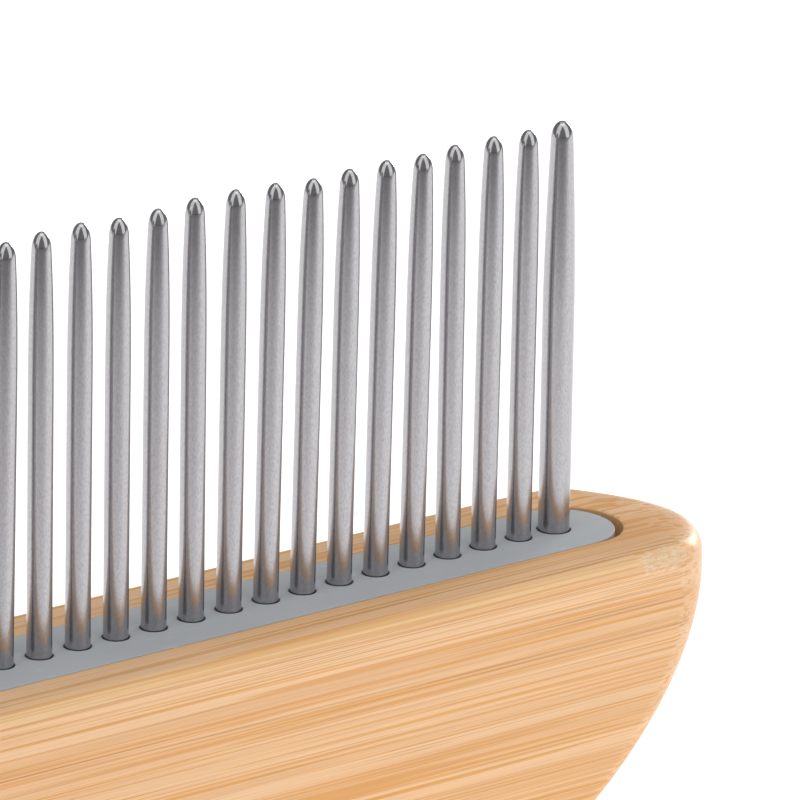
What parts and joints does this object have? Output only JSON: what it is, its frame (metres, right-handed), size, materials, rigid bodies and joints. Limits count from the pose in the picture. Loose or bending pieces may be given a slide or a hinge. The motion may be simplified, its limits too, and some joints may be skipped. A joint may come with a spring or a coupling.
{
  "type": "pet grooming comb",
  "caption": "Pet grooming comb: a row of freely turning, round-tipped steel pins in a plastic strip set into a bamboo body with an in-line grip.",
  "frame": {"origin": "the middle of the flat spine that the comb stands on, under the middle of its overall length", "axes": "+Z points along the pins, away from the spine; X runs along the row of pins with the toe at +X and the grip at -X; Y is the thickness"},
  "size_m": [0.205, 0.0152, 0.0545],
  "materials": {
    "bamboo": "satin clear varnish",
    "strip_plastic": "matte moulded",
    "pin_steel": "satin, polished at the tips"
  },
  "bodies": {
    "comb_body": {"bamboo_body": "bamboo", "pin_strip": "strip_plastic"},
    "pin_01": {"pin_01": "pin_steel"},
    "pin_02": {"pin_02": "pin_steel"},
    "pin_03": {"pin_03": "pin_steel"},
    "pin_04": {"pin_04": "pin_steel"},
    "pin_05": {"pin_05": "pin_steel"},
    "pin_06": {"pin_06": "pin_steel"},
    "pin_07": {"pin_07": "pin_steel"},
    "pin_08": {"pin_08": "pin_steel"},
    "pin_09": {"pin_09": "pin_steel"},
    "pin_10": {"pin_10": "pin_steel"},
    "pin_11": {"pin_11": "pin_steel"},
    "pin_12": {"pin_12": "pin_steel"},
    "pin_13": {"pin_13": "pin_steel"},
    "pin_14": {"pin_14": "pin_steel"},
    "pin_15": {"pin_15": "pin_steel"},
    "pin_16": {"pin_16": "pin_steel"},
    "pin_17": {"pin_17": "pin_steel"},
    "pin_18": {"pin_18": "pin_steel"},
    "pin_19": {"pin_19": "pin_steel"},
    "pin_20": {"pin_20": "pin_steel"},
    "pin_21": {"pin_21": "pin_steel"},
    "pin_22": {"pin_22": "pin_steel"},
    "pin_23": {"pin_23": "pin_steel"},
    "pin_24": {"pin_24": "pin_steel"},
    "pin_25": {"pin_25": "pin_steel"},
    "pin_26": {"pin_26": "pin_steel"},
    "pin_27": {"pin_27": "pin_steel"},
    "pin_28": {"pin_28": "pin_steel"},
    "pin_29": {"pin_29": "pin_steel"},
    "pin_30": {"pin_30": "pin_steel"},
    "pin_31": {"pin_31": "pin_steel"}
  },
  "joints": [
    {"name": "pin_01_spin", "type": "hinge", "parent": "comb_body", "child": "pin_01", "pos_m": [0.0914, 0, 0.0265], "axis": [0, 0, 1], "continuous": true},
    {"name": "pin_02_spin", "type": "hinge", "parent": "comb_body", "child": "pin_02", "pos_m": [0.0884, 0, 0.0265], "axis": [0, 0, 1], "continuous": true},
    {"name": "pin_03_spin", "type": "hinge", "parent": "comb_body", "child": "pin_03", "pos_m": [0.0854, 0, 0.0265], "axis": [0, 0, 1], "continuous": true},
    {"name": "pin_04_spin", "type": "hinge", "parent": "comb_body", "child": "pin_04", "pos_m": [0.0824, 0, 0.0265], "axis": [0, 0, 1], "continuous": true},
    {"name": "pin_05_spin", "type": "hinge", "parent": "comb_body", "child": "pin_05", "pos_m": [0.0794, 0, 0.0265], "axis": [0, 0, 1], "continuous": true},
    {"name": "pin_06_spin", "type": "hinge", "parent": "comb_body", "child": "pin_06", "pos_m": [0.0764, 0, 0.0265], "axis": [0, 0, 1], "continuous": true},
    {"name": "pin_07_spin", "type": "hinge", "parent": "comb_body", "child": "pin_07", "pos_m": [0.0734, 0, 0.0265], "axis": [0, 0, 1], "continuous": true},
    {"name": "pin_08_spin", "type": "hinge", "parent": "comb_body", "child": "pin_08", "pos_m": [0.0704, 0, 0.0265], "axis": [0, 0, 1], "continuous": true},
    {"name": "pin_09_spin", "type": "hinge", "parent": "comb_body", "child": "pin_09", "pos_m": [0.0674, 0, 0.0265], "axis": [0, 0, 1], "continuous": true},
    {"name": "pin_10_spin", "type": "hinge", "parent": "comb_body", "child": "pin_10", "pos_m": [0.0644, 0, 0.0265], "axis": [0, 0, 1], "continuous": true},
    {"name": "pin_11_spin", "type": "hinge", "parent": "comb_body", "child": "pin_11", "pos_m": [0.0614, 0, 0.0265], "axis": [0, 0, 1], "continuous": true},
    {"name": "pin_12_spin", "type": "hinge", "parent": "comb_body", "child": "pin_12", "pos_m": [0.0584, 0, 0.0265], "axis": [0, 0, 1], "continuous": true},
    {"name": "pin_13_spin", "type": "hinge", "parent": "comb_body", "child": "pin_13", "pos_m": [0.0554, 0, 0.0265], "axis": [0, 0, 1], "continuous": true},
    {"name": "pin_14_spin", "type": "hinge", "parent": "comb_body", "child": "pin_14", "pos_m": [0.0524, 0, 0.0265], "axis": [0, 0, 1], "continuous": true},
    {"name": "pin_15_spin", "type": "hinge", "parent": "comb_body", "child": "pin_15", "pos_m": [0.0494, 0, 0.0265], "axis": [0, 0, 1], "continuous": true},
    {"name": "pin_16_spin", "type": "hinge", "parent": "comb_body", "child": "pin_16", "pos_m": [0.0464, 0, 0.0265], "axis": [0, 0, 1], "continuous": true},
    {"name": "pin_17_spin", "type": "hinge", "parent": "comb_body", "child": "pin_17", "pos_m": [0.0434, 0, 0.0265], "axis": [0, 0, 1], "continuous": true},
    {"name": "pin_18_spin", "type": "hinge", "parent": "comb_body", "child": "pin_18", "pos_m": [0.0404, 0, 0.0265], "axis": [0, 0, 1], "continuous": true},
    {"name": "pin_19_spin", "type": "hinge", "parent": "comb_body", "child": "pin_19", "pos_m": [0.0374, 0, 0.0265], "axis": [0, 0, 1], "continuous": true},
    {"name": "pin_20_spin", "type": "hinge", "parent": "comb_body", "child": "pin_20", "pos_m": [0.0344, 0, 0.0265], "axis": [0, 0, 1], "continuous": true},
    {"name": "pin_21_spin", "type": "hinge", "parent": "comb_body", "child": "pin_21", "pos_m": [0.0314, 0, 0.0265], "axis": [0, 0, 1], "continuous": true},
    {"name": "pin_22_spin", "type": "hinge", "parent": "comb_body", "child": "pin_22", "pos_m": [0.0284, 0, 0.0265], "axis": [0, 0, 1], "continuous": true},
    {"name": "pin_23_spin", "type": "hinge", "parent": "comb_body", "child": "pin_23", "pos_m": [0.0254, 0, 0.0265], "axis": [0, 0, 1], "continuous": true},
    {"name": "pin_24_spin", "type": "hinge", "parent": "comb_body", "child": "pin_24", "pos_m": [0.0224, 0, 0.0265], "axis": [0, 0, 1], "continuous": true},
    {"name": "pin_25_spin", "type": "hinge", "parent": "comb_body", "child": "pin_25", "pos_m": [0.0194, 0, 0.0265], "axis": [0, 0, 1], "continuous": true},
    {"name": "pin_26_spin", "type": "hinge", "parent": "comb_body", "child": "pin_26", "pos_m": [0.0164, 0, 0.0265], "axis": [0, 0, 1], "continuous": true},
    {"name": "pin_27_spin", "type": "hinge", "parent": "comb_body", "child": "pin_27", "pos_m": [0.0134, 0, 0.0265], "axis": [0, 0, 1], "continuous": true},
    {"name": "pin_28_spin", "type": "hinge", "parent": "comb_body", "child": "pin_28", "pos_m": [0.0104, 0, 0.0265], "axis": [0, 0, 1], "continuous": true},
    {"name": "pin_29_spin", "type": "hinge", "parent": "comb_body", "child": "pin_29", "pos_m": [0.0074, 0, 0.0265], "axis": [0, 0, 1], "continuous": true},
    {"name": "pin_30_spin", "type": "hinge", "parent": "comb_body", "child": "pin_30", "pos_m": [0.0044, 0, 0.0265], "axis": [0, 0, 1], "continuous": true},
    {"name": "pin_31_spin", "type": "hinge", "parent": "comb_body", "child": "pin_31", "pos_m": [0.0014, 0, 0.0265], "axis": [0, 0, 1], "continuous": true}
  ]
}
